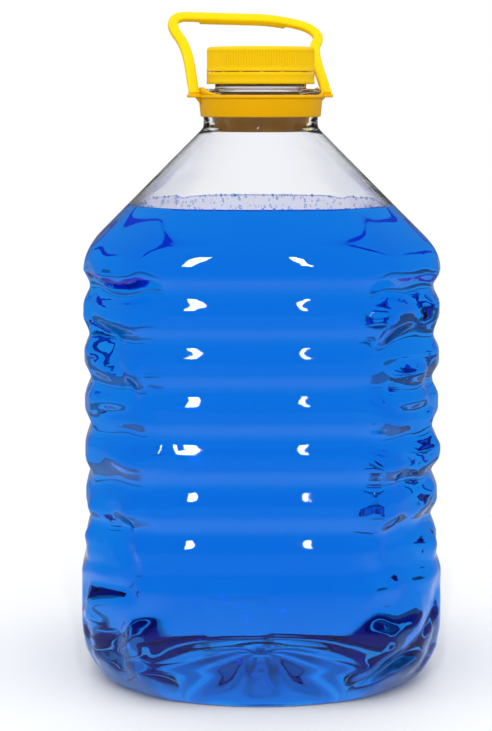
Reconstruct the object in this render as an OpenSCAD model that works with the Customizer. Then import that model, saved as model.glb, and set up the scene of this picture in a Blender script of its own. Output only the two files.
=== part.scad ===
// Five litre washer fluid jug: blown bottle, fill, screw cap with tamper band, and carry handle.
// Millimetres, +Z up, origin at the centre of the base, front of the bottle towards -Y.

/* [Body] */
// Half of the width across two flat faces, on the crests of the ribs
body_half_w = 80.8; // [74:0.1:90]
// Distance from the axis to the chamfer across a corner, on the crests of the ribs
corner_half_w = 95.4; // [90:0.1:102]
// How far each face bows out between its upright edges
face_bow = 1.8; // [0:0.1:3]
// How far the foot stands out past the crests
skirt_step = 2.3; // [1:0.1:4]
// Height of the step at the top of the foot
skirt_h = 57.4; // [50:0.1:64]
// Wall thickness of the blown skin
wall = 0.9; // [0.7:0.05:1.2]

/* [Base] */
// Height of the rounded lower edge of the foot
foot_h = 34; // [20:0.5:44]
// Middle radius of the ring that the bottle stands on
stand_r = 68; // [60:0.5:72]
// Width of the ring that the bottle stands on
stand_w = 5; // [3:0.5:8]
// How far the ring stands proud of the base
stand_h = 0.3; // [0.2:0.05:0.5]
// Height of the pushed-up centre of the base
push_up = 9; // [5:0.5:14]
// Number of radial ribs in the pushed-up base
base_ribs = 8; // [4:4:12]
// Height of the radial ribs
base_rib_h = 1; // [0:0.1:2]

/* [Ribs] */
// Number of ring grooves
groove_count = 6; // [4:1:7]
// Distance between grooves
groove_pitch = 21; // [18:0.5:24]
// Depth of a groove
groove_depth = 2.8; // [1:0.1:4]
// Distance from the foot's step to the middle of the first groove
first_groove = 21.2; // [16:0.1:28]

/* [Shoulder] */
// Distance from the middle of the last groove to the shoulder's corner
shoulder_gap = 15; // [13:0.5:20]
// Height from the shoulder's corner to the neck
shoulder_rise = 54.3; // [46:0.1:64]
// Length of the rounding along the wall, to each side of the shoulder's corner
shoulder_round = 9; // [6:0.5:12]

/* [Neck] */
// Outer radius of the neck where the handle's ring sits
neck_r = 26.4; // [25:0.1:28]
// Height of that seat, from the shoulder to the support ring
seat_h = 15.3; // [14:0.1:20]
// Outer radius of the support ring
support_r = 27.4; // [27:0.1:30]
// Thickness of the support ring
support_h = 2.4; // [1.5:0.1:4]
// Outer radius of the neck that carries the thread
finish_r = 21; // [20.5:0.1:21.3]
// Radius of the mouth
mouth_r = 19.4; // [17:0.1:19.8]
// Height from the top of the support ring to the rim
finish_h = 16; // [15:0.1:20]
// Outer radius of the bead that holds the tamper band back
bead_r = 21.7; // [21.5:0.1:22]

/* [Cap] */
// Outer radius of the cap and of the tamper band
cap_r = 24.9; // [24.8:0.1:27]
// Thickness of the cap's skirt and of the tamper band
cap_wall = 1.2; // [0.9:0.05:1.2]
// Thickness of the cap's top
cap_top = 1.8; // [1.2:0.1:3]
// Height of the cap's skirt below the rim
cap_skirt = 8.2; // [7.5:0.1:9]
// Number of knurl ribs round the cap
knurl_count = 120; // [60:4:160]
// Depth of the knurl
knurl_depth = 0.35; // [0.2:0.05:0.45]
// Thickness of the sealing disc
liner_h = 1.2; // [0.8:0.1:2]
// Height of the tamper band
band_h = 5.2; // [4:0.1:5.4]
// Open slit between the cap and the tamper band
slit_h = 0.4; // [0.3:0.05:0.6]
// Number of broken bridge stubs on the tamper band
bridge_count = 16; // [8:4:24]

/* [Handle] */
// Height of the ring that sits on the neck
collar_h = 10; // [7:0.1:11]
// Wall of the ring at its top
collar_wall = 2.1; // [1.6:0.1:2.6]
// Half of the loop's width over its feet
bail_half_w = 34; // [33:0.1:37]
// Length of the loop from its hinge to the middle of its grip
bail_len = 47.6; // [44:0.1:56]
// Width of the loop's strip, in the plane of the loop
strip_w = 4.8; // [4:0.1:5]
// Depth of the arms, across the plane of the loop
strip_d = 3.1; // [2:0.1:4]
// Depth of the grip, across the plane of the loop
grip_d = 6.2; // [4:0.1:8]
// Angle that the loop leans back from upright
bail_lean = 44; // [0:1:80]
// Angle that the handle is turned on the neck
bail_yaw = 14; // [-90:1:90]

/* [Fill] */
// Height of the fluid above the shoulder's corner
fill_over = 19.5; // [10:0.5:26]

/* [Clearances] */
// Running clearance of the ring on the neck, and of the hinge beads in their saddles
run_clear = 0.08; // [0.04:0.01:0.1]
// Gap between pieces that move past each other
free_gap = 0.3; // [0.25:0.05:0.4]
// Gap between the fluid and the wall
fluid_gap = 0.2; // [0.1:0.05:0.4]

/* [Hidden] */

// Facets of the blown skin
sides = 48;
rings_per_groove = 5;
foot_steps = 5;
corner_steps = 4;
round_fn = 128;
// Shift of the skin's points towards the octagon's edges, in degrees
edge_pull = 1.8;
// Exponents of the rounded octagon and of the foot's rounded edge
octagon_power = 30;
foot_power = 2.8;

// Heights up the bottle
groove_z = skirt_h + first_groove;
last_groove_z = groove_z + (groove_count - 1) * groove_pitch;
corner_z = last_groove_z + shoulder_gap;
neck_z = corner_z + shoulder_rise;
support_z = neck_z + seat_h;
finish_z = support_z + support_h;
rim_z = finish_z + finish_h;
fill_z = corner_z + fill_over;

// Plan and profile of the skin
skirt_half_w = body_half_w + skirt_step;
skirt_blend = 2.4;
corner_share = corner_half_w / body_half_w;
edge_share = corner_share * sqrt(2) - 1;
groove_half = groove_pitch * 2 / rings_per_groove;
stand_in = stand_r - stand_w / 2;
stand_out = stand_r + stand_w / 2;
stand_land = 0.5;
stand_bite = wall / 2;
cone_run = body_half_w - neck_r;
cone_len = norm([cone_run, shoulder_rise]);
cone_slope = cone_run / shoulder_rise;
cone_offset = cone_len / shoulder_rise;
base_round = 0.85;

// Neck
neck_wall = 1.9;
bead_h = 1.2;
rim_round = 0.5;
flare_h = 4;

// Cap and tamper band
cap_bore_r = cap_r - cap_wall;
cap_low_z = rim_z - cap_skirt;
cap_high_z = rim_z + liner_h + cap_top;
cap_border = 1.2;
cap_edge = 0.9;
knurl_sink = 0.08;
core_sink = 0.25;
knurl_crest_r = cap_r - knurl_sink;
knurl_root_r = cap_r - knurl_depth;
cap_core_r = knurl_root_r - core_sink;
bore_over = 1;
band_high_z = cap_low_z - slit_h;
band_low_z = band_high_z - band_h;
lip_catch = 0.3;
lip_r = bead_r - lip_catch;
lip_h = 1;
bead_z = band_low_z + lip_h + 2 * free_gap;
bridge_w = 1.1;
bridge_gap = 0.1;

// Handle's ring
collar_high_z = support_z - free_gap;
collar_low_z = collar_high_z - collar_h;
collar_in_r = neck_r + run_clear;
collar_top_r = collar_in_r + collar_wall;
collar_taper = 0.8;
collar_low_r = collar_top_r - collar_taper;
flange_h = 1.4;
flange_out = 0.6;
flange_r = collar_top_r + flange_out;

// Hinge of the loop: round beads on its feet, in saddles on the ring's lugs
hinge_bead_r = 1.2;
saddle_r = hinge_bead_r + run_clear;
saddle_lift = 0.1;
hinge_z = collar_high_z + saddle_r + saddle_lift;
foot_u = bail_half_w - strip_w / 2;
foot_d = 1.5;
foot_len = 6;
bead_over = 0.2;
bead_len = strip_w + bead_over;
lug_half_d = 2;
lug_drop = 1;
lug_in_r = collar_in_r + collar_wall / 3;
lug_edge = 3.5;
lug_over = 0.5;
lug_reach = bail_half_w + lug_over;
lug_h = 1.6;
gusset_w = 1.4;
gusset_h = 3.5;

// Half of the loop's middle line, as shares across (of the foot) and along (of the length)
arm_curve = [[1, 0], [0.99, 0.28], [0.93, 0.54], [1.055, 0.73]];
bend_curve = [[1.055, 0.73], [1.15, 0.875], [1.1, 1], [0.86, 1]];
arm_steps = 9;
bend_steps = 7;
grip_steps = 4;
strip_sides = 12;
strip_power = 0.55;
grip_blend = [0.72, 0.97];

function mix(a, b, t) = a + (b - a) * t;
function clamp01(t) = max(0, min(1, t));
function ease(t) = let (u = clamp01(t)) u * u * (3 - 2 * u);
function total(v) = v * [for (x = v) 1];
function bezier(p, t) =
    let (s = 1 - t)
    s * s * s * p[0] + 3 * s * s * t * p[1] + 3 * s * t * t * p[2] + t * t * t * p[3];

// Rounded octagon: distance from the axis to its edge, in the direction a
function octagon_r(a, flat, corner) =
    pow(total([for (k = [0:7])
        pow(max(0, cos(a - 45 * k)) / (k % 2 == 0 ? flat : corner), octagon_power)]), -1 / octagon_power);

// Octagon's distance r with its edges drawn in, so that its faces bow out
function bowed(r, flat) = r - face_bow * (pow(r / flat, 2) - 1) / pow(edge_share, 2);

// One ring of the skin; round 0 is the octagon and 1 is a circle, and lift raises the radial ribs
function ring(w, z, round, lift = 0) = [for (i = [0:sides - 1])
    let (even = 360 * i / sides)
    let (a = even + edge_pull * sin(16 * even))
    let (r = mix(bowed(octagon_r(a, w, w * corner_share), w), w, round))
    [r * cos(a), r * sin(a), z + lift * cos(base_ribs * a)]];

// Groove depth at a height, by a cosine across each groove
function groove(z) =
    let (k = max(0, min(groove_count - 1, round((z - groove_z) / groove_pitch))))
    let (t = abs(z - groove_z - k * groove_pitch) / groove_half)
    t >= 1 ? 0 : groove_depth * (1 + cos(180 * t)) / 2;

// Rings of the skin from the base's centre to the neck, set in by the distance d
dome_shares = [0.22, 0.5, 0.78, 1];
function dome_z(share) = stand_h + push_up * (1 - ease(share));
function dome_rings(d) = [for (s = dome_shares)
    ring(s * stand_in, dome_z(s) + d, 1, base_rib_h * sin(180 * s))];
function foot_rings(d) = [for (i = [0:foot_steps])
    let (a = 90 * i / foot_steps)
    let (w = mix(stand_out, skirt_half_w, pow(sin(a), 2 / foot_power)))
    let (z = stand_h + foot_h * (1 - pow(cos(a), 2 / foot_power)))
    ring(w - d * sin(a), z + d * cos(a), base_round * (1 - ease(i / foot_steps)))];
function step_rings(d) = [
    ring(skirt_half_w - d, skirt_h - skirt_blend, 0),
    ring(body_half_w - d, skirt_h + skirt_blend, 0)];
function rib_rings(d) = [for (i = [-2:(groove_count - 1) * rings_per_groove + 2])
    let (z = groove_z + groove_pitch * i / rings_per_groove)
    ring(body_half_w - groove(z) - d, z, 0)];
function cone_w(z) = body_half_w - (z - corner_z) * cone_slope;
function cone_round(z) = ease((z - corner_z) / shoulder_rise);
function corner_rings(d) = [for (i = [1:corner_steps])
    let (t = i / corner_steps)
    let (high = corner_z + shoulder_round * shoulder_rise / cone_len)
    let (z = mix(mix(corner_z - shoulder_round, corner_z, t), mix(corner_z, high, t), t))
    let (w = mix(body_half_w, mix(body_half_w, cone_w(high), t), t))
    ring(w - d * mix(1, cone_offset, t), z, cone_round(z))];
cone_shares = [0.52, 0.7, 0.85, 1];
function cone_ring(z, d) = ring(cone_w(z) - d * cone_offset, z, cone_round(z));
function cone_rings(d) = [for (s = cone_shares) cone_ring(corner_z + s * shoulder_rise, d)];
function wet_rings(d) = concat(
    dome_rings(d), foot_rings(d), step_rings(d), rib_rings(d), corner_rings(d), [cone_ring(fill_z, d)]);

function flat_list(v) = [for (row = v) each row];
function backwards(v) = [for (i = [len(v) - 1:-1:0]) v[i]];

// Closed solid through a stack of rings, with one point at each end; cross turns the quads' diagonals
module ring_stack(rings, start, end, cross = false) {
    n = len(rings[0]);
    last = (len(rings) - 1) * n + 1;
    points = concat([start], flat_list(rings), [end]);
    faces = concat(
        [for (i = [0:n - 1]) [0, 1 + i, 1 + (i + 1) % n]],
        [for (j = [0:len(rings) - 2]) for (i = [0:n - 1])
            let (a = 1 + j * n + i)
            let (b = 1 + j * n + (i + 1) % n)
            each cross ? [[a, a + n, b], [b, a + n, b + n]] : [[a, a + n, b + n], [a, b + n, b]]],
        [for (i = [0:n - 1]) [last + i, last + n, last + (i + 1) % n]]);
    polyhedron(points, faces);
}

// Turned solid from half of its section
module turned(points) {
    rotate_extrude($fn = round_fn) polygon(points);
}

// Turned ring with a square section
module turned_ring(r_in, r_out, z_low, z_high) {
    turned([[r_in, z_low], [r_out, z_low], [r_out, z_high], [r_in, z_high]]);
}

module bottle() {
    skin = concat(wet_rings(0), cone_rings(0));
    lining = concat(wet_rings(wall), cone_rings(wall));
    base_z = dome_z(0);
    color([0.86, 0.92, 0.95, 0.45]) {
        ring_stack(concat(skin, backwards(lining)), [0, 0, base_z], [0, 0, base_z + wall]);
        turned_ring(stand_in + stand_land, stand_out - stand_land, 0, stand_h + stand_bite);
    }
}

// Stem of the neck, with the seat of the handle's ring and the support ring
module neck_stem() {
    root_in = neck_r - neck_wall;
    color([0.86, 0.92, 0.95, 0.45]) turned([
        [root_in, neck_z],
        [neck_r, neck_z],
        [neck_r, support_z],
        [support_r, support_z],
        [support_r, finish_z - rim_round],
        [support_r - rim_round, finish_z],
        [mouth_r, finish_z],
        [mouth_r, support_z],
        [root_in, support_z - flare_h]]);
}

// Top of the neck under the cap, with the tamper band's bead and the rim
module neck_finish() {
    color([0.86, 0.92, 0.95, 0.45]) turned([
        [mouth_r, finish_z],
        [finish_r, finish_z],
        [finish_r, bead_z],
        [bead_r, bead_z],
        [bead_r, bead_z + bead_h / 2],
        [finish_r, bead_z + bead_h],
        [finish_r, rim_z - rim_round],
        [finish_r - rim_round, rim_z],
        [mouth_r, rim_z]]);
}

module washer_fluid() {
    inset = wall + fluid_gap;
    color([0.02, 0.4, 0.85])
        ring_stack(wet_rings(inset), [0, 0, dome_z(0) + inset], [0, 0, fill_z], cross = true);
}

// Star outline of the knurl, one point on each crest and each root
module knurl_outline() {
    polygon([for (i = [0:2 * knurl_count - 1])
        let (a = 180 * i / knurl_count)
        (i % 2 == 0 ? knurl_crest_r : knurl_root_r) * [cos(a), sin(a)]]);
}

module screw_cap() {
    color([1, 0.72, 0.02]) difference() {
        union() {
            turned([
                [0, cap_low_z],
                [cap_r, cap_low_z],
                [cap_r, cap_low_z + cap_border],
                [cap_core_r, cap_low_z + cap_border],
                [cap_core_r, cap_high_z - cap_edge],
                [cap_core_r - cap_edge, cap_high_z],
                [0, cap_high_z]]);
            translate([0, 0, cap_low_z + cap_border / 2])
                linear_extrude(cap_high_z - cap_edge - cap_low_z - cap_border / 2) knurl_outline();
        }
        translate([0, 0, cap_low_z - bore_over])
            cylinder(h = bore_over + cap_skirt + liner_h, r = cap_bore_r, $fn = round_fn);
    }
}

module cap_liner() {
    color([0.95, 0.95, 0.92]) translate([0, 0, rim_z])
        cylinder(h = liner_h, r = cap_bore_r - free_gap, $fn = round_fn);
}

module tamper_band() {
    color([1, 0.72, 0.02]) {
        turned([
            [cap_bore_r, band_high_z],
            [cap_bore_r, band_low_z + lip_h + (cap_bore_r - lip_r)],
            [lip_r, band_low_z + lip_h],
            [lip_r, band_low_z],
            [cap_r, band_low_z],
            [cap_r, band_high_z]]);
        for (i = [0:bridge_count - 1])
            rotate([0, 0, 360 * i / bridge_count])
                translate([cap_bore_r + cap_wall / 4, -bridge_w / 2, band_high_z - bridge_gap])
                    cube([cap_wall / 2, bridge_w, slit_h]);
    }
}

// Lug on the ring for one foot of the loop: a ledge with a round saddle, on a gusset
module hinge_lug() {
    lug_high_z = hinge_z - lug_drop;
    difference() {
        union() {
            translate([lug_in_r, -lug_half_d, lug_high_z - lug_h])
                cube([lug_reach - lug_in_r, 2 * lug_half_d, lug_h]);
            translate([0, gusset_w / 2, 0]) rotate([90, 0, 0]) linear_extrude(gusset_w) polygon([
                [lug_in_r, lug_high_z - lug_h],
                [lug_in_r, lug_high_z - lug_h - gusset_h],
                [collar_low_r, lug_high_z - lug_h - gusset_h],
                [lug_reach - lug_edge, lug_high_z - lug_h]]);
        }
        translate([foot_u - bead_len / 2 - free_gap, 0, hinge_z]) rotate([0, 90, 0])
            cylinder(h = lug_reach, r = saddle_r, $fn = round_fn);
        translate([0, 0, collar_high_z])
            cylinder(h = lug_h, r = support_r + free_gap, $fn = round_fn);
    }
}

module handle_collar() {
    color([1, 0.76, 0.02]) rotate([0, 0, bail_yaw]) {
        turned([
            [collar_in_r, collar_low_z],
            [collar_low_r, collar_low_z],
            [collar_top_r, collar_high_z - flange_h],
            [flange_r, collar_high_z - flange_h],
            [flange_r, collar_high_z],
            [collar_in_r, collar_high_z]]);
        for (side = [0, 180]) rotate([0, 0, side]) hinge_lug();
    }
}

// Middle line of the whole loop, from one foot over the grip to the other
function arm_point(p) = [p[0] * foot_u, p[1] * bail_len];
half_line = concat(
    [for (i = [0:arm_steps]) arm_point(bezier(arm_curve, i / arm_steps))],
    [for (i = [1:bend_steps]) arm_point(bezier(bend_curve, i / bend_steps))],
    [for (i = [1:grip_steps - 1]) arm_point([bend_curve[3][0] * (1 - i / grip_steps), 1])]);
bail_line = concat(half_line, [[0, bail_len]], [for (p = backwards(half_line)) [-p[0], p[1]]]);

// Depth of the strip at a height along the loop: thin at the foot and deep at the grip
function bail_depth(s) =
    mix(mix(foot_d, strip_d, ease(s / foot_len)), grip_d,
        ease((s / bail_len - grip_blend[0]) / (grip_blend[1] - grip_blend[0])));

function signed_pow(x, p) = sign(x) * pow(abs(x), p);
function bail_ring(i) =
    let (last = len(bail_line) - 1)
    let (way = bail_line[min(last, i + 1)] - bail_line[max(0, i - 1)])
    let (out = [way[1], -way[0]] / norm(way))
    let (p = bail_line[i])
    [for (k = [0:strip_sides - 1])
        let (a = 360 * (k + 0.5) / strip_sides)
        let (u = strip_w / 2 * signed_pow(cos(a), strip_power))
        [p[0] + u * out[0], bail_depth(p[1]) / 2 * signed_pow(sin(a), strip_power), p[1] + u * out[1]]];

module carry_bail() {
    rings = [for (i = [0:len(bail_line) - 1]) bail_ring(i)];
    color([1, 0.8, 0.02])
        rotate([0, 0, bail_yaw]) translate([0, 0, hinge_z]) rotate([-bail_lean, 0, 0]) {
            ring_stack(rings, [foot_u, 0, 0], [-foot_u, 0, 0]);
            for (side = [-1, 1])
                translate([side * foot_u - bead_len / 2, 0, 0]) rotate([0, 90, 0])
                    cylinder(h = bead_len, r = hinge_bead_r, $fn = round_fn);
        }
}

bottle();
neck_stem();
neck_finish();
washer_fluid();
screw_cap();
cap_liner();
tamper_band();
handle_collar();
carry_bail();
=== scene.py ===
import math

import bpy
import numpy as np
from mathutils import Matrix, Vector, noise


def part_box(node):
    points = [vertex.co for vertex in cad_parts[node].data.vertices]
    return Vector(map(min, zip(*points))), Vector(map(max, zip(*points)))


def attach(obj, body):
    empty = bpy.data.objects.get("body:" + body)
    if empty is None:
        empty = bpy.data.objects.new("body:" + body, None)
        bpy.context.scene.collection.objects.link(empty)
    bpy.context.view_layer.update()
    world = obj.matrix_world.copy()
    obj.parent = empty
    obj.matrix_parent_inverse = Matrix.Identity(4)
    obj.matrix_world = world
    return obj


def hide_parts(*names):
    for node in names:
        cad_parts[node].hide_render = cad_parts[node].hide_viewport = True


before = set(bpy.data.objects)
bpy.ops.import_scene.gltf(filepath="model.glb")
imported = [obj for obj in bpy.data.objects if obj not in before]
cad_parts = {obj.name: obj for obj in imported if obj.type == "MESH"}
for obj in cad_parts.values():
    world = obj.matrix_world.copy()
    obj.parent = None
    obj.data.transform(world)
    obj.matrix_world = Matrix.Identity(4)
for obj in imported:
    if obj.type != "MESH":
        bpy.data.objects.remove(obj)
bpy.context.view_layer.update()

# Sizes are in millimetres, as in the part, and meshes are made in metres
MM = 0.001


def node_heights(node):
    """Lowest and highest point of a CAD node, in millimetres."""
    low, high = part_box(node)
    return low[2] / MM, high[2] / MM


# Body of the bottle
BODY_W = 80.8
CORNER_REACH = 95.4
SKIRT_W = 83.1
SKIRT_H = 57.4
SKIRT_BLEND = 4.6
WALL = 0.9
OCTAGON_POWER = 44
EDGE_PULL = 1.2
FACE_BOW = 1.8
BOTTLE_SIDES = 192
DOME_RINGS, FOOT_RINGS, WALL_RINGS, CORNER_RINGS, CONE_RINGS = 26, 24, 100, 14, 26

# Base
FOOT_H = 34.0
FOOT_DRAW, FOOT_DRAW_H, FOOT_DRAW_POWER = 6.0, 18.0, 1.3
FOOT_EDGE_AT, FOOT_EDGE = 76.2, 1.5
BASE_ROUND, BASE_ROUND_RUN, BASE_SQUARE_FROM = 0.85, 10, 20
STAND_IN, STAND_OUT, STAND_H = 65.5, 70.5, 0.3
STAND_PROFILE = ((66.0, 0.06), (66.5, 0), (69.5, 0), (70.0, 0.06))
PUSH_UP = 9.0
BASE_RIBS = 8
BASE_RIB_H = 0.6
GATE_R, GATE_H = 5.0, 2.2

# Notch in the back of the foot
NOTCH_X, NOTCH_Z = -10.3, 6.5
NOTCH_HALF_W, NOTCH_HALF_H = 14.0, 9.0
NOTCH_EDGE, NOTCH_DEPTH = 3.0, 4.5
NOTCH_BACK, NOTCH_BACK_RUN = 60, 14

# Waves and folds that blowing and handling leave: sizes across and up, and a shift of the noise
FLAT_WAVE, CHAMFER_WAVE = 0.02, 2.6
CHAMFER_FROM, CHAMFER_RUN = 0.6, 0.3
WAVE_NOISE = (20, 17, 3)
RIPPLE_NOISE, RIPPLE_SHARE = (10, 8, 3), 0.4
FOLD_NOISE, FOLD_SHARE, FOLD_WIDTH = (34, 26, 8), 1.3, 0.3

# Ribs
GROOVES = 6
GROOVE_PITCH = 21.0
GROOVE_DEPTH = 2.8
GROOVE_HALF = GROOVE_PITCH * 2 / 5
GROOVE_Z = 78.6

# Shoulder and neck
CORNER_Z = 198.6
SHOULDER_RISE = 54.3
SHOULDER_ROUND = 9.0
NECK_R = 26.4
NECK_WALL = 1.9
NECK_Z = CORNER_Z + SHOULDER_RISE
CONE_TOP = NECK_Z - 1.6
SUPPORT_Z, FINISH_Z = 268.2, 270.6
SUPPORT_R, FINISH_R, MOUTH_R, BEAD_R = 27.4, 21.0, 19.4, 21.7
BEAD_Z = 274.4
RIM_Z = node_heights("neck_finish")[1]
RIM_ROUND = 0.5
THREAD_PITCH, THREAD_H, THREAD_W = 4.0, 1.7, 1.5
THREAD_LOW, THREAD_HIGH = 277.4, 284.6
FINISH_RINGS = 44

# Fill
FILL_Z = node_heights("washer_fluid")[1]
WET_OVERLAP = 0.05
MENISCUS_H, MENISCUS_RUN = 0.4, 1.2
MENISCUS_SHARES = (0.994, 0.985, 0.97, 0.95, 0.9, 0.7, 0.4, 0.1)
BUBBLES, BUBBLE_SEED = 420, 7
BUBBLE_MIN_R, BUBBLE_MAX_R = 0.22, 0.75
BUBBLE_GAP, BUBBLE_SPREAD = 0.25, 45

# Cap and tamper band
CAP_R = 24.9
CAP_BORE_R = 23.7
CAP_LOW, CAP_HIGH = node_heights("screw_cap")
CAP_BORDER, CAP_EDGE = 1.3, 1.8
CAP_TOP_R = 21
KNURLS, KNURL_SAMPLES, KNURL_DEPTH = 120, 8, 0.42
LINER_TOP = node_heights("cap_liner")[1]
BAND_LOW = node_heights("tamper_band")[0]
BAND_HIGH = 278.1
BAND_LIP_R = 21.4
BAND_SIDES = 960
BRIDGES, BRIDGE_W, BRIDGE_H, BRIDGE_EDGE = 16, 1.3, 0.32, 0.3

# Handle ring with its hinge lugs
YAW = math.radians(14)
LEAN = math.radians(44)
HINGE_Z = 269.28
COLLAR_LOW, COLLAR_HIGH = 257.9, 267.9
COLLAR_IN_R, COLLAR_TOP_R, COLLAR_LOW_R, FLANGE_R = 26.48, 28.58, 27.78, 29.18
COLLAR_SIDES = 192
FLANGE_H = 1.4
LUG_IN_R, LUG_REACH, LUG_HALF_D, LUG_H, LUG_Z = 27.18, 34.5, 2.0, 1.6, HINGE_Z - 1.0
LUG_SOFT = 0.4
GUSSET_W, GUSSET_H = 1.4, 3.5
FIN_IN_R, FIN_OUT_R, FIN_H, FIN_SINK = 27.7, 29.0, 3.4, 0.3
FIN_START, FIN_STOP, FIN_STEPS, FIN_POWER = 4.6, 36.0, 15, 1.3

# Carry loop
BAIL_LEN = 48.8
FOOT_U = 31.6
FOOT_LEN = 6.0
STRIP_W, STRIP_D, GRIP_D, FOOT_D = 4.8, 3.1, 6.2, 1.5
STRIP_SIDES, STRIP_POWER = 28, 0.55
LOOP_SKEW, CORNER_DROP, CORNER_FROM = 1.6, 8.0, 0.2
ARM_CURVE = ((1, 0), (0.99, 0.28), (0.93, 0.54), (1.055, 0.73))
BEND_CURVE = ((1.055, 0.73), (1.15, 0.875), (1.1, 1), (0.86, 1))
CURVE_STEPS, GRIP_STEPS = 25, 41
GRIP_HALF, GRIP_EDGE, GRIP_FROM = 20.5, 1.0, 0.8
HINGE_BEAD_R = 1.2
BEAD_PROFILE = ((-2.5, 0.7), (-2.4, 1.0), (-2.2, HINGE_BEAD_R), (2.2, HINGE_BEAD_R), (2.4, 1.0), (2.5, 0.7))
BEAD_SIDES = 24

# Looks: PET and fluid act as one block, so the faces between them bend no light
PET_IOR, FLUID_IOR, MATCHED_IOR, BUBBLE_IOR = 1.345, 1.7, 1.001, 1.12
FLUID_TINT, FLUID_DENSITY = (0.075, 0.74, 0.96, 1), 43.0
CAP_COLOUR = (1.0, 0.61, 0.001, 1)
# The ring and the loop are one plastic: the loop's colour is painted lighter, as where light falls on it from
# above, and the ring's deeper orange is painted shade.
RING_COLOUR_PAINTED_SHADE = (1.0, 0.50, 0.001, 1)
LOOP_COLOUR_PAINTED_LIT = (1.0, 0.68, 0.002, 1)

# Studio: brightness behind the bottle, from far left (0) to far right (1), as seen through it
FLAG_STOPS = ((0.19, 1.0), (0.26, 0.25), (0.36, 0.25), (0.39, 0.5), (0.42, 0.5), (0.45, 1.0),
              (0.56, 1.0), (0.59, 0.5), (0.74, 0.4), (0.81, 1.0))
FLOOR_R = 6
LAMP_AIM = (0, 0, 0.15)
BOUNCES = 24

# Camera, fitted to the photograph's 492 by 731 frame
IMAGE_W, IMAGE_H = 492, 731
FOCAL_PX = 1842.0
CAM_DISTANCE, CAM_HEIGHT = 860.0, 270.0
CAM_AZIMUTH, CAM_TILT = math.radians(-1), math.radians(8.5)
AXIS_PX = 260.5
SENSOR = 36.0


# Helpers

def ease(t):
    t = np.clip(t, 0, 1)
    return t * t * (3 - 2 * t)


def mix(a, b, t):
    return a + (b - a) * t


def soft_box(t, half, edge):
    """1 within half of zero, easing to 0 over the edge."""
    return 1 - ease((np.abs(t) - half) / edge)


def new_piece(name, points, faces):
    """Smooth-shaded object through points in millimetres."""
    mesh = bpy.data.meshes.new(name)
    mesh.from_pydata((np.array(points) * MM).tolist(), [], faces)
    mesh.update()
    mesh.polygons.foreach_set("use_smooth", [True] * len(mesh.polygons))
    piece = bpy.data.objects.new(name, mesh)
    bpy.context.scene.collection.objects.link(piece)
    return piece


def band_faces(a, b, n):
    """Quads between two rings of n points, whose first points are numbered a and b."""
    return [(a + i, a + (i + 1) % n, b + (i + 1) % n, b + i) for i in range(n)]


def stack_mesh(name, rings, start, end):
    """Closed mesh through rings of points, with one point at each end; the solid lies left of the way."""
    count, n = rings.shape[:2]
    points = np.vstack([[start], rings.reshape(-1, 3), [end]])
    last = 1 + (count - 1) * n
    faces = [(0, 1 + (i + 1) % n, 1 + i) for i in range(n)]
    for j in range(count - 1):
        faces += band_faces(1 + j * n, 1 + (j + 1) * n, n)
    faces += [(last + i, last + (i + 1) % n, last + n) for i in range(n)]
    return new_piece(name, points, faces)


def tube(rings):
    """Closed shell through a stack of equal rings, capped flat at both ends."""
    n, last = len(rings[0]), (len(rings) - 1) * len(rings[0])
    faces = [tuple(range(n))[::-1]]
    for j in range(len(rings) - 1):
        faces += band_faces(j * n, (j + 1) * n, n)
    faces.append(tuple(last + i for i in range(n)))
    return [tuple(p) for ring in rings for p in ring], faces


def closed_ring(rings):
    """Closed ring-shaped shell through turned rings, whose profile has the solid on its left."""
    count, sides = rings.shape[:2]
    faces = []
    for j in range(count):
        faces += band_faces(j * sides, (j + 1) % count * sides, sides)
    return [tuple(p) for p in rings.reshape(-1, 3)], faces


def join_shells(name, shells):
    """One mesh of several closed shells, each a list of points in millimetres and a list of faces."""
    points, faces = [], []
    for shell_points, shell_faces in shells:
        faces += [tuple(len(points) + i for i in face) for face in shell_faces]
        points += shell_points
    return new_piece(name, points, faces)


def even_angles(sides):
    return np.arange(sides) * 2 * math.pi / sides


def turned_rings(profile, sides, radius_at=None):
    """Rings of a turned form from (radius, height) points; radius_at(angles, r, z) may shape each ring."""
    angles = even_angles(sides)
    rings = []
    for r, z in profile:
        radius = np.full(sides, r) if radius_at is None else radius_at(angles, r, z)
        rings.append(np.stack([radius * np.cos(angles), radius * np.sin(angles), np.full(sides, z)], axis=1))
    return np.array(rings)


def arc(cx, cz, r, start, stop, steps):
    """Points of an arc in the (radius, height) plane, angles in degrees."""
    return [(cx + r * math.cos(math.radians(a)), cz + r * math.sin(math.radians(a)))
            for a in np.linspace(start, stop, steps)]


# Skin of the bottle, by the part's own formula

EVEN = even_angles(BOTTLE_SIDES)
ANGLES = EVEN + math.radians(EDGE_PULL) * np.sin(16 * EVEN)


def octagon_radius(flat):
    """Rounded octagon: distance from the axis to the edge at each angle, per unit of half-width."""
    corner = CORNER_REACH / BODY_W
    total = 0
    for k in range(8):
        reach = flat * (1 if k % 2 == 0 else corner)
        total = total + (np.maximum(0, np.cos(ANGLES - math.radians(45 * k))) / reach) ** OCTAGON_POWER
    return total ** (-1 / OCTAGON_POWER)


UNIT_OCTAGON = octagon_radius(1.0)
EDGE_SHARE = CORNER_REACH / BODY_W * math.sqrt(2) - 1


def skin_ring(w, z, round_share, lift=0.0):
    """Ring of half-width w at a height, from the bowed octagon (share 0) to a circle (share 1)."""
    bow = FACE_BOW * (UNIT_OCTAGON ** 2 - 1) / EDGE_SHARE ** 2
    r = mix(w * UNIT_OCTAGON - bow, w, round_share)
    height = z + lift * np.cos(BASE_RIBS * ANGLES)
    return np.stack([r * np.cos(ANGLES), r * np.sin(ANGLES), height], axis=1)


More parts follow.
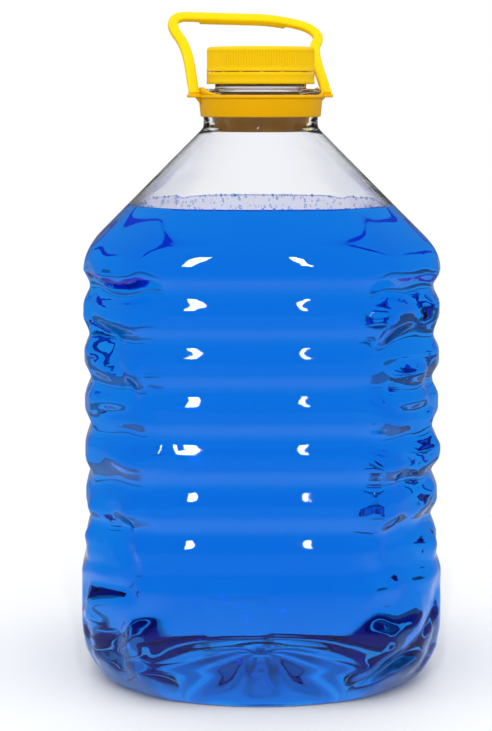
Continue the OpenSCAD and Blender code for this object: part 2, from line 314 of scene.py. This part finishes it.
def dome_rings(inset, gate):
    """Pushed-up base with its ribs, and the gate mark in the middle."""
    rings = []
    for share in np.linspace(0.02, 1, DOME_RINGS):
        z = STAND_H + PUSH_UP * (1 - ease(share)) + inset
        z -= gate * math.exp(-(share * STAND_IN / GATE_R) ** 2)
        rings.append(skin_ring(share * STAND_IN, z, 1, BASE_RIB_H * math.sin(math.pi * share)))
    return rings


def stand_rings():
    """The ring that the bottle stands on, proud of the base."""
    return [skin_ring(r, z, mix(1, BASE_ROUND, i / 3)) for i, (r, z) in enumerate(STAND_PROFILE)]


def foot_rings(inset):
    """Flat rim outside the stand, small bottom edge, and the wall that draws in below FOOT_DRAW_H."""
    profile = [(r, STAND_H, 0, 1) for r in np.linspace(STAND_OUT, FOOT_EDGE_AT - 0.6, 4)]
    for t in np.radians(np.linspace(-90, -22, 7)):
        c, s = math.cos(t), math.sin(t)
        profile.append((FOOT_EDGE_AT + FOOT_EDGE * c, STAND_H + FOOT_EDGE * (1 + s), c, -s))
    for z in np.linspace(2, STAND_H + FOOT_H, FOOT_RINGS):
        draw = FOOT_DRAW * max(0, 1 - z / FOOT_DRAW_H) ** FOOT_DRAW_POWER
        profile.append((SKIRT_W - draw, z, 1, 0))
    rings = []
    for w, z, side, up in profile:
        square = float(ease((z - BASE_SQUARE_FROM) / (FOOT_H - BASE_SQUARE_FROM)))
        share = BASE_ROUND * math.exp(-z / BASE_ROUND_RUN) * (1 - square)
        rings.append(skin_ring(w - inset * side, z + inset * up, share))
    return rings


def wall_width(z):
    """Half-width of the upright wall at a height: foot, step and ring grooves."""
    step = ease((z - SKIRT_H + SKIRT_BLEND) / (2 * SKIRT_BLEND))
    k = min(GROOVES - 1, max(0, round((z - GROOVE_Z) / GROOVE_PITCH)))
    t = abs(z - GROOVE_Z - k * GROOVE_PITCH) / GROOVE_HALF
    groove = 0 if t >= 1 else GROOVE_DEPTH * (1 + math.cos(math.pi * t)) / 2
    return mix(SKIRT_W, BODY_W, step) - groove


def wall_rings(inset):
    low = STAND_H + FOOT_H + 1
    high = CORNER_Z - SHOULDER_ROUND
    return [skin_ring(wall_width(z) - inset, z, 0) for z in np.linspace(low, high, WALL_RINGS)]


CONE_RUN = BODY_W - NECK_R
CONE_LEN = math.hypot(CONE_RUN, SHOULDER_RISE)
CONE_OFFSET = CONE_LEN / SHOULDER_RISE
CONE_LOW = CORNER_Z + SHOULDER_ROUND * SHOULDER_RISE / CONE_LEN


def cone_width(z):
    return BODY_W - (z - CORNER_Z) * CONE_RUN / SHOULDER_RISE


def cone_round(z):
    return float(ease((z - CORNER_Z) / SHOULDER_RISE))


def corner_rings(inset):
    """Rounded break between the wall and the shoulder, a parabola between its two tangents."""
    rings = []
    for t in np.linspace(0.06, 1, CORNER_RINGS):
        z = mix(mix(CORNER_Z - SHOULDER_ROUND, CORNER_Z, t), mix(CORNER_Z, CONE_LOW, t), t)
        w = mix(BODY_W, mix(BODY_W, cone_width(CONE_LOW), t), t)
        rings.append(skin_ring(w - inset * mix(1, CONE_OFFSET, t), z, cone_round(z)))
    return rings


def cone_ring(z, inset):
    return skin_ring(cone_width(z) - inset * CONE_OFFSET, z, cone_round(z))


def cone_rings(inset, top):
    return [cone_ring(z, inset) for z in np.linspace(CONE_LOW, top, CONE_RINGS)[1:]]


def wave_fade(z):
    """Share of the waves at a height: none at the bottom edge and the neck, little on the shoulder."""
    foot = ease((z - 4) / 12)
    shoulder = 1 - 0.85 * ease((z - 188) / 14)
    neck = 1 - ease((z - NECK_Z + 14) / 10)
    return float(foot * shoulder * neck)


def smooth_noise(p, across, up, shift):
    return noise.noise(Vector((p[0] / across, p[1] / across, p[2] / up + shift)))


def blown_shape(rings):
    """The notch in the back of the foot, and the waves and folds, mostly in the chamfers."""
    out = rings.copy()
    chamfer = 0.5 - 0.5 * np.cos(4 * ANGLES)
    waves = mix(FLAT_WAVE, CHAMFER_WAVE, ease((chamfer - CHAMFER_FROM) / CHAMFER_RUN))
    for ring in out:
        mask = soft_box(ring[:, 0] - NOTCH_X, NOTCH_HALF_W, NOTCH_EDGE)
        mask = mask * soft_box(ring[:, 2] - NOTCH_Z, NOTCH_HALF_H, NOTCH_EDGE)
        ring[:, 1] -= NOTCH_DEPTH * (mask * ease((ring[:, 1] - NOTCH_BACK) / NOTCH_BACK_RUN))
        fade = wave_fade(ring[0, 2])
        if fade > 0:
            for p, wave in zip(ring, waves):
                n = smooth_noise(p, *WAVE_NOISE) + RIPPLE_SHARE * smooth_noise(p, *RIPPLE_NOISE)
                n -= FOLD_SHARE * max(0, 1 - abs(smooth_noise(p, *FOLD_NOISE)) / FOLD_WIDTH)
                p[:2] *= 1 + fade * wave * n / math.hypot(p[0], p[1])
    out[:, :, :2] = np.clip(out[:, :, :2], -SKIRT_W, SKIRT_W)
    return out


def skin_rings(inset, top, gate=0, stand=False):
    """The whole skin from the middle of the base up to a height on the shoulder."""
    rings = dome_rings(inset, gate) + (stand_rings() if stand else []) + foot_rings(inset)
    return blown_shape(np.array(rings + wall_rings(inset) + corner_rings(inset) + cone_rings(inset, top)))


def thread_radius(angles, r, z):
    """Helical thread on the finish of the neck, fading at both ends."""
    if not THREAD_LOW < z < THREAD_HIGH:
        return np.full(len(angles), r)
    phase = (z - THREAD_LOW) / THREAD_PITCH - angles / (2 * math.pi)
    off = np.abs(phase - np.round(phase)) * THREAD_PITCH
    bump = np.clip(1 - off / THREAD_W, 0, 1)
    run = (z - THREAD_LOW) / (THREAD_HIGH - THREAD_LOW)
    return r + THREAD_H * ease(bump) * float(ease(run * 5) * ease((1 - run) * 5))


def neck_rings():
    """Neck from the shoulder up over the rim and down the mouth to the inner shoulder."""
    root_in = NECK_R - NECK_WALL
    root = [(NECK_R + 1.1, NECK_Z - 1.0), (NECK_R + 0.45, NECK_Z - 0.2), (NECK_R + 0.1, NECK_Z + 0.8),
            (NECK_R, NECK_Z + 2), (NECK_R, SUPPORT_Z - 0.1), (NECK_R + 0.1, SUPPORT_Z)]
    support = [(SUPPORT_R - 0.3, SUPPORT_Z), (SUPPORT_R, SUPPORT_Z + 0.3), (SUPPORT_R, FINISH_Z - 0.5),
               (SUPPORT_R - 0.15, FINISH_Z - 0.15), (SUPPORT_R - 0.5, FINISH_Z)]
    bead = [(FINISH_R + 0.5, FINISH_Z + 0.05), (FINISH_R + 0.1, FINISH_Z + 0.3), (FINISH_R, FINISH_Z + 0.8),
            (FINISH_R, BEAD_Z - 0.1), (FINISH_R + 0.1, BEAD_Z), (BEAD_R - 0.2, BEAD_Z),
            (BEAD_R, BEAD_Z + 0.2), (BEAD_R, BEAD_Z + 0.6), (FINISH_R + 0.2, BEAD_Z + 1.1),
            (FINISH_R, BEAD_Z + 1.4)]
    rim_low = RIM_Z - RIM_ROUND
    rim = arc(FINISH_R - RIM_ROUND, rim_low, RIM_ROUND, 0, 90, 5)
    rim += arc(MOUTH_R + RIM_ROUND, rim_low, RIM_ROUND, 90, 180, 5)
    bore = [(MOUTH_R, RIM_Z - 2), (MOUTH_R, SUPPORT_Z + 1), (MOUTH_R + 0.3, SUPPORT_Z),
            (root_in - 3.2, SUPPORT_Z - 3), (root_in - 2.6, SUPPORT_Z - 5), (root_in - 2.2, COLLAR_LOW + 1),
            (root_in - 1.5, NECK_Z + 3), (root_in - 0.6, NECK_Z + 1), (root_in + 0.6, NECK_Z - 0.8)]
    rings = [skin_ring(r, z, 1) for r, z in root + support + bead]
    for z in np.linspace(THREAD_LOW - 0.6, RIM_Z - 0.6, FINISH_RINGS):
        rings.append(skin_ring(thread_radius(ANGLES, FINISH_R, z), z, 1))
    rings += [skin_ring(r, z, 1) for r, z in rim + bore]
    return np.array(rings)


def make_bottle():
    """Bottle of one closed mesh, outside and inside; the wetted inner faces have slot 1."""
    outer = skin_rings(0, CONE_TOP, GATE_H, True)
    inner = skin_rings(WALL, CONE_TOP)
    rings = np.concatenate([outer, neck_rings(), inner[::-1]])
    centre = STAND_H + PUSH_UP
    piece = stack_mesh("clear_bottle", rings, (0, 0, centre - GATE_H), (0, 0, centre + WALL))
    first_wet = BOTTLE_SIDES * (len(rings) - len(inner))
    for face in piece.data.polygons:
        if face.index > first_wet and face.center.z < FILL_Z * MM:
            face.material_index = 1
    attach(piece, "jug")
    for node in ("bottle", "neck_stem", "neck_finish"):
        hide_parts(node)
    return piece


def make_fluid():
    """Fluid that laps into the wall a little and climbs it at the brim; its top faces have slot 1."""
    inset = WALL - WET_OVERLAP
    rings = skin_rings(inset, FILL_Z + MENISCUS_H)
    brim = rings[-1]
    tops = []
    for share in MENISCUS_SHARES:
        ring = brim.copy()
        ring[:, :2] *= share
        run = np.hypot(brim[:, 0], brim[:, 1]) * (1 - share)
        ring[:, 2] = FILL_Z + MENISCUS_H * np.exp(-run / MENISCUS_RUN)
        tops.append(ring)
    rings = np.concatenate([rings, np.array(tops)])
    start = (0, 0, STAND_H + PUSH_UP + inset)
    piece = stack_mesh("blue_washer_fluid", rings, start, (0, 0, FILL_Z))
    first_top = BOTTLE_SIDES * (len(rings) - len(tops))
    for face in piece.data.polygons:
        if face.index >= first_top:
            face.material_index = 1
    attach(piece, "jug")
    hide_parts("washer_fluid")
    return piece


def make_bubbles():
    """Small bubbles that float on the fluid, most of them against the wall."""
    pick = np.random.default_rng(BUBBLE_SEED)
    angles = np.arange(8) * math.pi / 4
    levels = np.radians((-80, -45, 0, 45, 80))
    brim = cone_ring(FILL_Z, WALL)
    reach = np.hypot(brim[:, 0], brim[:, 1])
    shells = []
    for k in range(BUBBLES):
        r = mix(BUBBLE_MIN_R, BUBBLE_MAX_R, pick.random() ** 3)
        side = pick.integers(BOTTLE_SIDES)
        inward = BUBBLE_GAP if k % 3 else BUBBLE_SPREAD * pick.random() ** 1.5
        out = reach[side] - r - inward
        x, y = out * math.cos(ANGLES[side]), out * math.sin(ANGLES[side])
        z = FILL_Z + 0.3 * r + 0.1
        rings = [[(x + r * math.cos(b) * math.cos(a), y + r * math.cos(b) * math.sin(a), z + r * math.sin(b))
                  for a in angles] for b in levels]
        shells.append(tube(rings))
    piece = join_shells("surface_bubbles", shells)
    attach(piece, "jug")
    return piece


# Cap, tamper band and handle

def knurl_radius(angles, r, z):
    low = float(ease((z - CAP_LOW - CAP_BORDER) / 0.3))
    high = float(ease((CAP_HIGH - CAP_EDGE - z) / 0.5))
    rib = (0.5 + 0.5 * np.cos(KNURLS * angles)) ** 0.8
    return r - KNURL_DEPTH * low * high * (1 - rib)


def make_cap():
    inside = [(r, LINER_TOP) for r in np.linspace(1, CAP_BORE_R - 0.4, 8)]
    inside += [(CAP_BORE_R, LINER_TOP - 0.4), (CAP_BORE_R, CAP_LOW + 0.3), (CAP_BORE_R + 0.2, CAP_LOW)]
    wall_r = CAP_R - 0.1
    border = [(CAP_R - 0.25, CAP_LOW), (CAP_R - 0.06, CAP_LOW + 0.08), (CAP_R, CAP_LOW + 0.3),
              (CAP_R, CAP_LOW + CAP_BORDER - 0.25), (wall_r, CAP_LOW + CAP_BORDER)]
    wall = [(wall_r, z) for z in np.linspace(CAP_LOW + CAP_BORDER + 0.1, CAP_HIGH - CAP_EDGE, 12)]
    top = arc(wall_r - CAP_EDGE, CAP_HIGH - CAP_EDGE, CAP_EDGE, 6, 90, 12)
    top += [(r, CAP_HIGH) for r in np.linspace(CAP_TOP_R, 1, 8)]
    rings = turned_rings(inside + border + wall + top, KNURLS * KNURL_SAMPLES, knurl_radius)
    piece = stack_mesh("knurled_screw_cap", rings, (0, 0, LINER_TOP), (0, 0, CAP_HIGH))
    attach(piece, "cap")
    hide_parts("screw_cap")
    return piece


def torn_edge(angle):
    return 0.6 + 0.4 * noise.noise(Vector((40 * math.cos(angle), 40 * math.sin(angle), 1)))


def make_band():
    """Tamper band, with the torn stubs of its bridges on the top edge."""
    soft = 0.15
    outside = [(BAND_LIP_R, BAND_LOW), (CAP_R - soft, BAND_LOW), (CAP_R, BAND_LOW + soft),
               (CAP_R, BAND_LOW + 1.2), (CAP_R - 0.05, BAND_LOW + 1.4), (CAP_R - 0.05, BAND_LOW + 3.6),
               (CAP_R, BAND_LOW + 3.8), (CAP_R, BAND_HIGH - soft), (CAP_R - soft, BAND_HIGH)]
    top = [(CAP_R - 0.3, BAND_HIGH), (CAP_R - 0.9, BAND_HIGH)]
    inside = [(CAP_BORE_R, BAND_HIGH - soft), (CAP_BORE_R, BAND_LOW + 3.3), (BAND_LIP_R, BAND_LOW + 1)]
    rings = turned_rings(outside + top + inside, BAND_SIDES)
    angles = even_angles(BAND_SIDES)
    phase = angles * BRIDGES / (2 * math.pi)
    off = np.abs(phase - np.round(phase)) * 2 * math.pi * CAP_R / BRIDGES
    ragged = np.array([torn_edge(a) for a in angles])
    rise = BRIDGE_H * soft_box(off, BRIDGE_W / 2, BRIDGE_EDGE) * ragged
    rings[len(outside):len(outside) + len(top), :, 2] += rise
    piece = join_shells("tamper_evident_band", [closed_ring(rings)])
    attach(piece, "jug")
    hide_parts("tamper_band")
    return piece


def turned_shell(shell, side):
    """The shell turned with the handle, for one of its two sides."""
    a = YAW + math.pi * side
    c, s = math.cos(a), math.sin(a)
    return [(c * x - s * y, s * x + c * y, z) for x, y, z in shell[0]], shell[1]


def rounded_box(low, high, soft):
    """Box with softened upright and level edges, as a tube of rings along X."""
    def outline(x, inset):
        y0, z0, y1, z1 = low[1] + inset, low[2] + inset, high[1] - inset, high[2] - inset
        points = []
        for cy, cz, start in ((y1 - soft, z1 - soft, 0), (y0 + soft, z1 - soft, 90),
                              (y0 + soft, z0 + soft, 180), (y1 - soft, z0 + soft, 270)):
            for a in np.radians(np.linspace(start, start + 90, 5)):
                points.append((x, cy + soft * math.cos(a), cz + soft * math.sin(a)))
        return points
    ends = [(low[0], soft * 0.8), (low[0] + soft * 0.3, soft * 0.3), (low[0] + soft, 0),
            (high[0] - soft, 0), (high[0] - soft * 0.3, soft * 0.3), (high[0], soft * 0.8)]
    return tube([outline(x, inset) for x, inset in ends])


def collar_shell():
    low, high, flange = COLLAR_LOW, COLLAR_HIGH, COLLAR_HIGH - FLANGE_H
    soft = 0.25
    profile = [(COLLAR_IN_R + soft, low), (COLLAR_LOW_R - 0.5, low), (COLLAR_LOW_R - 0.15, low + 0.12),
               (COLLAR_LOW_R + 0.02, low + 0.5), (COLLAR_TOP_R - 0.05, flange - 0.5),
               (COLLAR_TOP_R + 0.05, flange - 0.15), (FLANGE_R - 0.25, flange),
               (FLANGE_R - 0.06, flange + 0.08), (FLANGE_R, flange + 0.3), (FLANGE_R, high - 0.35),
               (FLANGE_R - 0.08, high - 0.1), (FLANGE_R - 0.3, high), (COLLAR_IN_R + soft, high),
               (COLLAR_IN_R, high - soft), (COLLAR_IN_R, low + soft)]
    return closed_ring(turned_rings(profile, COLLAR_SIDES))


def fin_shell(way):
    """Low fin along the top of the ring, falling away from the lug to one side (way -1 or 1)."""
    rings = []
    for t in np.linspace(0, 1, FIN_STEPS)[::way]:
        a = way * math.radians(mix(FIN_START, FIN_STOP, t))
        low, top = COLLAR_HIGH - FIN_SINK, COLLAR_HIGH + FIN_H * (1 - t) ** FIN_POWER + 0.02
        section = [(FIN_IN_R, low), (FIN_OUT_R, low), (FIN_OUT_R, mix(COLLAR_HIGH, top, 0.8)),
                   (mix(FIN_IN_R, FIN_OUT_R, 0.7), top), (FIN_IN_R, top)]
        rings.append([(r * math.cos(a), r * math.sin(a), z) for r, z in section])
    return tube(rings[::-1])


def make_collar():
    """Ring of the handle, and on each side a lug with its gusset and two fins."""
    lug_low = LUG_Z - LUG_H
    ledge = rounded_box((LUG_IN_R, -LUG_HALF_D, lug_low), (LUG_REACH, LUG_HALF_D, LUG_Z), LUG_SOFT)
    web = [(LUG_IN_R, lug_low + 0.6), (LUG_IN_R, lug_low - GUSSET_H), (COLLAR_LOW_R + 0.3, lug_low - GUSSET_H),
           (LUG_REACH - 3.8, lug_low - 0.3), (LUG_REACH - 3.2, lug_low + 0.6)]
    gusset = tube([[(x, y, z) for x, z in web] for y in (GUSSET_W / 2, -GUSSET_W / 2)])
    shells = [collar_shell()]
    for side in (0, 1):
        shells += [turned_shell(shell, side) for shell in (ledge, gusset, fin_shell(-1), fin_shell(1))]
    piece = join_shells("handle_neck_ring", shells)
    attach(piece, "collar")
    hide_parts("handle_collar")
    return piece


def bezier(p, t):
    s = 1 - t
    return s ** 3 * p[0] + 3 * s * s * t * p[1] + 3 * s * t * t * p[2] + t ** 3 * p[3]


def loop_line():
    """Middle line of the loop, foot to foot in its own plane, with the sagging right corner."""
    scale = np.array([FOOT_U, BAIL_LEN])
    arm, bend = np.array(ARM_CURVE) * scale, np.array(BEND_CURVE) * scale
    steps = np.linspace(0, 1, CURVE_STEPS)
    line = [bezier(arm, t) for t in steps] + [bezier(bend, t) for t in steps[1:]]
    line += [np.array([u, BAIL_LEN]) for u in np.linspace(bend[3][0], 0, GRIP_STEPS)[1:]]
    line += [np.array([-p[0], p[1]]) for p in line[-2::-1]]
    line = np.array(line)
    share = line[:, 0] / FOOT_U
    drop = LOOP_SKEW * (0.5 + 0.5 * share) + CORNER_DROP * np.maximum(0, share - CORNER_FROM) ** 2
    line[:, 1] -= drop * (line[:, 1] / BAIL_LEN) ** 2
    return line


def rounded_wave(wave):
    return np.sign(wave) * np.abs(wave) ** STRIP_POWER


def loop_shell():
    """Strip along the loop's line, thin at the feet and with a lip behind the grip."""
    line = loop_line()
    angles = (np.arange(STRIP_SIDES) + 0.5) * 2 * math.pi / STRIP_SIDES
    across_u = rounded_wave(np.cos(angles)) * STRIP_W / 2
    across_d = rounded_wave(np.sin(angles)) / 2
    rings = []
    for i, p in enumerate(line):
        way = line[min(len(line) - 1, i + 1)] - line[max(0, i - 1)]
        out = np.array([way[1], -way[0]]) / np.hypot(*way)
        depth = mix(FOOT_D, STRIP_D, float(ease(p[1] / FOOT_LEN)))
        grip = 0.0
        if p[1] > BAIL_LEN * GRIP_FROM:
            grip = float(ease((GRIP_HALF + GRIP_EDGE - abs(p[0])) / GRIP_EDGE))
        back = mix(depth / 2, GRIP_D / 2, grip)
        rings.append([(p[0] + u * out[0], (2 * back if d > 0 else depth) * d, p[1] + u * out[1])
                      for u, d in zip(across_u, across_d)])
    return tube(rings)


def hinge_bead(side):
    rings = []
    for x, r in BEAD_PROFILE:
        rings.append([(side * FOOT_U + x, r * math.cos(a), r * math.sin(a)) for a in even_angles(BEAD_SIDES)])
    return tube(rings)


def make_bail():
    """Loop of the handle with a hinge bead in each foot, leaned back and turned as in the photograph."""
    c, s = math.cos(LEAN), math.sin(LEAN)
    leaned = []
    for points, faces in (loop_shell(), hinge_bead(-1), hinge_bead(1)):
        moved = [(x, c * y + s * z, HINGE_Z - s * y + c * z) for x, y, z in points]
        leaned.append(turned_shell((moved, faces), 0))
    piece = join_shells("carry_loop", leaned)
    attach(piece, "bail")
    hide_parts("carry_bail")
    return piece


# Materials

def new_material(name):
    material = bpy.data.materials.new(name)
    material.use_nodes = True
    nodes = material.node_tree.nodes
    return material, nodes, material.node_tree.links, nodes["Principled BSDF"]


def set_inputs(node, **values):
    """Input values by name, with spaces written as underscores."""
    for name, value in values.items():
        node.inputs[name.replace("_", " ")].default_value = value


def noise_node(nodes, links, scale, detail=3.0):
    place = nodes.new("ShaderNodeTexCoord")
    texture = nodes.new("ShaderNodeTexNoise")
    set_inputs(texture, Scale=scale, Detail=detail)
    links.new(place.outputs["Object"], texture.inputs["Vector"])
    return texture.outputs["Fac"]


def ramp_node(nodes, links, source, low, high):
    ramp = nodes.new("ShaderNodeValToRGB")
    for stop, position, colour in zip(ramp.color_ramp.elements, (0.3, 0.7), (low, high)):
        stop.position, stop.color = position, colour
    links.new(source, ramp.inputs["Fac"])
    return ramp.outputs["Color"]


def bump_node(nodes, links, source, strength, distance, shader):
    bump = nodes.new("ShaderNodeBump")
    set_inputs(bump, Strength=strength, Distance=distance)
    links.new(source, bump.inputs["Height"])
    links.new(bump.outputs["Normal"], shader.inputs["Normal"])


def range_node(nodes, links, source, low=0.0, high=1.0, start=0.0, stop=1.0, smooth=False):
    """The source's run from start to stop, turned into a run from low to high."""
    node = nodes.new("ShaderNodeMapRange")
    node.interpolation_type = "SMOOTHSTEP" if smooth else "LINEAR"
    set_inputs(node, From_Min=start, From_Max=stop, To_Min=low, To_Max=high)
    links.new(source, node.inputs["Value"])
    return node.outputs["Result"]


def clear_pet(name, ior):
    """Clear PET: where the fluid wets it, the two nearly match and the surface bends no light."""
    material, nodes, links, shader = new_material(name)
    set_inputs(shader, Base_Color=(0.985, 0.992, 1.0, 1), Transmission_Weight=1.0, IOR=ior)
    haze = noise_node(nodes, links, 38.0)
    links.new(range_node(nodes, links, haze, 0.0, 0.035), shader.inputs["Roughness"])
    flow = noise_node(nodes, links, 55.0, 2.0)
    bump_node(nodes, links, flow, 0.12, 0.0006, shader)
    return material


def blue_fluid(name, ior):
    material, nodes, links, shader = new_material(name)
    set_inputs(shader, Base_Color=(1, 1, 1, 1), Transmission_Weight=1.0, IOR=ior, Roughness=0.0)
    tint = nodes.new("ShaderNodeVolumeAbsorption")
    set_inputs(tint, Color=FLUID_TINT, Density=FLUID_DENSITY)
    links.new(tint.outputs["Volume"], nodes["Material Output"].inputs["Volume"])
    return material


def bubble_film():
    material, nodes, links, shader = new_material("bubble_film")
    set_inputs(shader, Transmission_Weight=1.0, IOR=BUBBLE_IOR)
    cloud = noise_node(nodes, links, 300.0)
    tone = ramp_node(nodes, links, cloud, (0.62, 0.88, 1.0, 1), (0.9, 0.98, 1.0, 1))
    links.new(tone, shader.inputs["Base Color"])
    links.new(range_node(nodes, links, cloud, 0.02, 0.12), shader.inputs["Roughness"])
    return material


def moulded_plastic(name, colour, grain, gloss):
    """Satin plastic with slightly clouded colour and gloss, and a fine grain."""
    material, nodes, links, shader = new_material(name)
    cloud = noise_node(nodes, links, 60.0)
    dark = tuple(c * 0.96 for c in colour[:3]) + (1,)
    links.new(ramp_node(nodes, links, cloud, dark, colour), shader.inputs["Base Color"])
    links.new(range_node(nodes, links, cloud, gloss, gloss + 0.14), shader.inputs["Roughness"])
    fine = noise_node(nodes, links, grain, 4.0)
    bump_node(nodes, links, fine, 0.1, 0.0003, shader)
    set_inputs(shader, IOR=1.5, Specular_IOR_Level=0.1, Subsurface_Weight=0.15,
               Subsurface_Radius=(0.004, 0.002, 0.0004), Subsurface_Scale=1.0)
    return material


def liner_foam():
    material, nodes, links, shader = new_material("liner_foam")
    cells = noise_node(nodes, links, 900.0)
    tone = ramp_node(nodes, links, cells, (0.74, 0.74, 0.7, 1), (0.88, 0.88, 0.85, 1))
    links.new(tone, shader.inputs["Base Color"])
    shader.inputs["Roughness"].default_value = 0.8
    bump_node(nodes, links, cells, 0.3, 0.0002, shader)
    return material


def dress(piece, *materials):
    """Materials of the piece's slots, in order."""
    for material in materials:
        piece.data.materials.append(material)


# Stage: floor, light and camera

def by_ray(nodes, links, seen, through, mirrored, other):
    """Value by kind of ray: seen straight, seen through glass, mirrored, and all other light."""
    path = nodes.new("ShaderNodeLightPath")

    def choose(is_ray, yes, no):
        node = nodes.new("ShaderNodeMix")
        links.new(path.outputs[is_ray], node.inputs["Factor"])
        for socket, value in ((node.inputs["A"], no), (node.inputs["B"], yes)):
            if isinstance(value, float):
                socket.default_value = value
            else:
                links.new(value, socket)
        return node.outputs["Result"]

    value = choose("Is Glossy Ray", mirrored, other)
    value = choose("Is Transmission Ray", through, value)
    return choose("Is Camera Ray", seen, value)


def make_floor():
    """Pale floor that keeps the bottle's shadow and goes over into the white background."""
    bpy.ops.mesh.primitive_circle_add(vertices=96, radius=FLOOR_R, fill_type="NGON")
    floor = bpy.context.object
    floor.name = "studio_floor"
    material, nodes, links, shader = new_material("studio_floor")
    set_inputs(shader, Base_Color=(0.95, 0.965, 0.98, 1), Roughness=0.6, Specular_IOR_Level=0.2)
    place = nodes.new("ShaderNodeTexCoord")
    length = nodes.new("ShaderNodeVectorMath")
    length.operation = "LENGTH"
    links.new(place.outputs["Object"], length.inputs[0])
    far = range_node(nodes, links, length.outputs["Value"], start=0.1, stop=0.34, smooth=True)
    glow = nodes.new("ShaderNodeEmission")
    links.new(by_ray(nodes, links, 1.0, 1.0, 0.3, 0.42), glow.inputs["Strength"])
    blend = nodes.new("ShaderNodeMixShader")
    links.new(by_ray(nodes, links, far, 1.0, far, far), blend.inputs["Fac"])
    links.new(shader.outputs["BSDF"], blend.inputs[1])
    links.new(glow.outputs["Emission"], blend.inputs[2])
    links.new(blend.outputs["Shader"], nodes["Material Output"].inputs["Surface"])
    dress(floor, material)


def flag_node(nodes, links, x, y):
    """Dark bands behind the bottle, by the direction's X where its Y points back."""
    flag = nodes.new("ShaderNodeValToRGB")
    stops = flag.color_ramp.elements
    flag.color_ramp.interpolation = "EASE"
    for position, level in FLAG_STOPS:
        stops.new(position).color = (level, level, level, 1)
    stops.remove(stops[0])
    stops.remove(stops[-1])
    links.new(range_node(nodes, links, x, start=-1.0), flag.inputs["Fac"])
    shade = nodes.new("ShaderNodeMix")
    shade.inputs["A"].default_value = 1.0
    links.new(range_node(nodes, links, y, stop=0.2), shade.inputs["Factor"])
    links.new(flag.outputs["Color"], shade.inputs["B"])
    return shade.outputs["Result"]


def make_world():
    """White all round; through the bottle it is dimmer overhead, in front and in the bands behind."""
    world = bpy.data.worlds.new("studio")
    bpy.context.scene.world = world
    world.use_nodes = True
    nodes, links = world.node_tree.nodes, world.node_tree.links
    light = nodes["Background"]
    light.inputs["Color"].default_value = (1, 1, 1, 1)
    place = nodes.new("ShaderNodeTexCoord")
    parts = nodes.new("ShaderNodeSeparateXYZ")
    links.new(place.outputs["Generated"], parts.inputs["Vector"])
    x, y, z = (parts.outputs[axis] for axis in "XYZ")
    room = range_node(nodes, links, z, 1.0, 0.4, 0.3, 0.85, smooth=True)
    front = range_node(nodes, links, y, 0.45, 1.0, -0.9, 0.1, smooth=True)
    for part in (front, flag_node(nodes, links, x, y)):
        product = nodes.new("ShaderNodeMath")
        product.operation = "MULTIPLY"
        links.new(room, product.inputs[0])
        links.new(part, product.inputs[1])
        room = product.outputs["Value"]
    links.new(by_ray(nodes, links, 1.0, room, 0.12, 1.1), light.inputs["Strength"])


def softbox(name, place, size, power):
    data = bpy.data.lights.new(name, "AREA")
    data.shape = "RECTANGLE"
    data.size, data.size_y = size
    data.energy = power
    lamp = bpy.data.objects.new(name, data)
    bpy.context.scene.collection.objects.link(lamp)
    lamp.location = place
    aim = Vector(LAMP_AIM) - Vector(place)
    lamp.rotation_euler = aim.to_track_quat("-Z", "Y").to_euler()


def make_camera():
    data = bpy.data.cameras.new("camera")
    data.sensor_fit = "AUTO"
    data.sensor_width = SENSOR
    data.lens = FOCAL_PX * SENSOR / IMAGE_H
    camera = bpy.data.objects.new("camera", data)
    bpy.context.scene.collection.objects.link(camera)
    place = Vector((math.sin(CAM_AZIMUTH), -math.cos(CAM_AZIMUTH), 0)) * CAM_DISTANCE
    place.z = CAM_HEIGHT
    camera.location = place * MM
    turn = math.atan((AXIS_PX - IMAGE_W / 2) / FOCAL_PX)
    camera.rotation_euler = (math.pi / 2 - CAM_TILT, 0, CAM_AZIMUTH + turn)
    bpy.context.scene.camera = camera


cap_plastic = moulded_plastic("cap_plastic", CAP_COLOUR, 700.0, 0.3)
dress(make_bottle(), clear_pet("clear_pet", PET_IOR), clear_pet("wetted_pet", MATCHED_IOR))
dress(make_fluid(), blue_fluid("blue_fluid", MATCHED_IOR), blue_fluid("blue_fluid_top", FLUID_IOR))
dress(make_bubbles(), bubble_film())
dress(make_cap(), cap_plastic)
dress(make_band(), cap_plastic)
# Ring and loop get lit and shaded copies of one plastic: painted shade on the ring, painted light on the loop.
dress(make_collar(), moulded_plastic("ring_plastic_painted_shade", RING_COLOUR_PAINTED_SHADE, 500.0, 0.25))
dress(make_bail(), moulded_plastic("loop_plastic_painted_lit", LOOP_COLOUR_PAINTED_LIT, 500.0, 0.25))
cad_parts["cap_liner"].data.materials[0] = liner_foam()

make_floor()
make_world()
softbox("left_window", (-0.198, -1.681, 1.526), (0.041, 0.9), 8.0)
softbox("right_window", (0.178, -1.681, 1.526), (0.025, 0.9), 5.0)
make_camera()

bpy.context.scene.view_settings.view_transform = "Standard"
bpy.context.scene.cycles.max_bounces = BOUNCES
bpy.context.scene.cycles.transmission_bounces = BOUNCES
